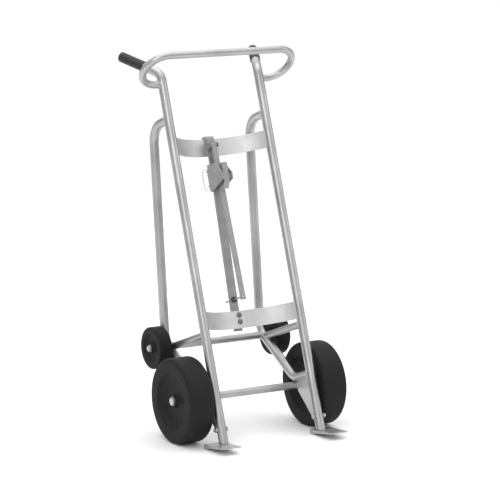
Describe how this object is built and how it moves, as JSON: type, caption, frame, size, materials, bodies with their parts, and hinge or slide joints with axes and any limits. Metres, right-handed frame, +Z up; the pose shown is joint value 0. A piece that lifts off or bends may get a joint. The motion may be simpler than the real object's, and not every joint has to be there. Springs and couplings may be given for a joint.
{
  "type": "drum dolly",
  "caption": "Pipe-frame drum hand truck with bowed bands, wedge toes, a sliding chime hook on a hinged bar, a hand loop, grips and four wheels.",
  "frame": {"origin": "on the floor at the middle of the overall length and width", "axes": "+X across the rails, to the right of a viewer facing the load side; +Y from the load side to the operator; +Z up"},
  "size_m": [0.6424, 0.7093, 1.3659],
  "materials": {
    "bright_pipe": "satin",
    "band_steel": "satin",
    "grey_steel": "matte",
    "forged_toe": "rough",
    "grip_rubber": "matte",
    "tyre_rubber": "matte",
    "wheel_centre": "satin",
    "zinc_hardware": "satin"
  },
  "bodies": {
    "frame": {"left_rail": "bright_pipe", "right_rail": "bright_pipe", "handle_loop": "bright_pipe", "left_rear_tube": "bright_pipe", "right_rear_tube": "bright_pipe", "left_brace": "bright_pipe", "right_brace": "bright_pipe", "axle_tube": "bright_pipe", "rear_cross_tube": "bright_pipe", "upper_drum_band": "band_steel", "lower_drum_band": "band_steel", "left_gusset": "band_steel", "right_gusset": "band_steel", "hook_mast": "grey_steel", "hinge_lugs": "grey_steel", "left_toe": "forged_toe", "right_toe": "forged_toe", "left_grip": "grip_rubber", "right_grip": "grip_rubber", "mast_bush": "grip_rubber", "main_axle": "zinc_hardware", "rear_axle": "zinc_hardware", "axle_caps": "zinc_hardware", "axle_washers": "zinc_hardware", "axle_spacers": "zinc_hardware", "toe_bolts": "zinc_hardware", "toe_nuts": "zinc_hardware", "mast_bolts": "zinc_hardware", "mast_nuts": "zinc_hardware", "mast_spacers": "zinc_hardware", "hinge_pin": "zinc_hardware"},
    "left_main_wheel": {"left_main_tyre": "tyre_rubber", "left_main_hub": "wheel_centre", "left_main_bearings": "zinc_hardware"},
    "left_rear_wheel": {"left_rear_tyre": "tyre_rubber", "left_rear_hub": "wheel_centre", "left_rear_bearings": "zinc_hardware"},
    "right_main_wheel": {"right_main_tyre": "tyre_rubber", "right_main_hub": "wheel_centre", "right_main_bearings": "zinc_hardware"},
    "right_rear_wheel": {"right_rear_tyre": "tyre_rubber", "right_rear_hub": "wheel_centre", "right_rear_bearings": "zinc_hardware"},
    "hook_bar_assembly": {"hook_bar": "grey_steel", "guide_rod": "zinc_hardware", "rod_clip": "zinc_hardware"},
    "hook_slider": {"chime_hook": "grey_steel", "guide_pins": "zinc_hardware"},
    "ring": {"pull_ring": "zinc_hardware"}
  },
  "joints": [
    {"name": "left_main_wheel_spin", "type": "hinge", "parent": "frame", "child": "left_main_wheel", "pos_m": [-0.2727, -0.1005, 0.1524], "axis": [1, 0, 0], "continuous": true},
    {"name": "left_rear_wheel_spin", "type": "hinge", "parent": "frame", "child": "left_rear_wheel", "pos_m": [-0.2476, 0.13872, 0.29462], "axis": [1, 0, 0], "continuous": true},
    {"name": "right_main_wheel_spin", "type": "hinge", "parent": "frame", "child": "right_main_wheel", "pos_m": [0.2727, -0.1005, 0.1524], "axis": [1, 0, 0], "continuous": true},
    {"name": "right_rear_wheel_spin", "type": "hinge", "parent": "frame", "child": "right_rear_wheel", "pos_m": [0.2476, 0.13872, 0.29462], "axis": [1, 0, 0], "continuous": true},
    {"name": "hook_bar_swing", "type": "hinge", "parent": "frame", "child": "hook_bar_assembly", "pos_m": [0, 0.15389, 1.01198], "axis": [1, 0, 0], "range_deg": [0, 2], "stiffness_Nm_per_rad": 40, "springref_deg": -5.73},
    {"name": "chime_hook_slide", "type": "slide", "parent": "hook_bar_assembly", "child": "hook_slider", "axis": [0, 0.37, 0.9291], "range_m": [-0.3, 0.02]},
    {"name": "pull_ring_swing", "type": "hinge", "parent": "hook_slider", "child": "ring", "pos_m": [-0.0195, 0.15948, 0.88741], "axis": [0, 0.335, 0.9422], "range_deg": [0, 80]}
  ]
}
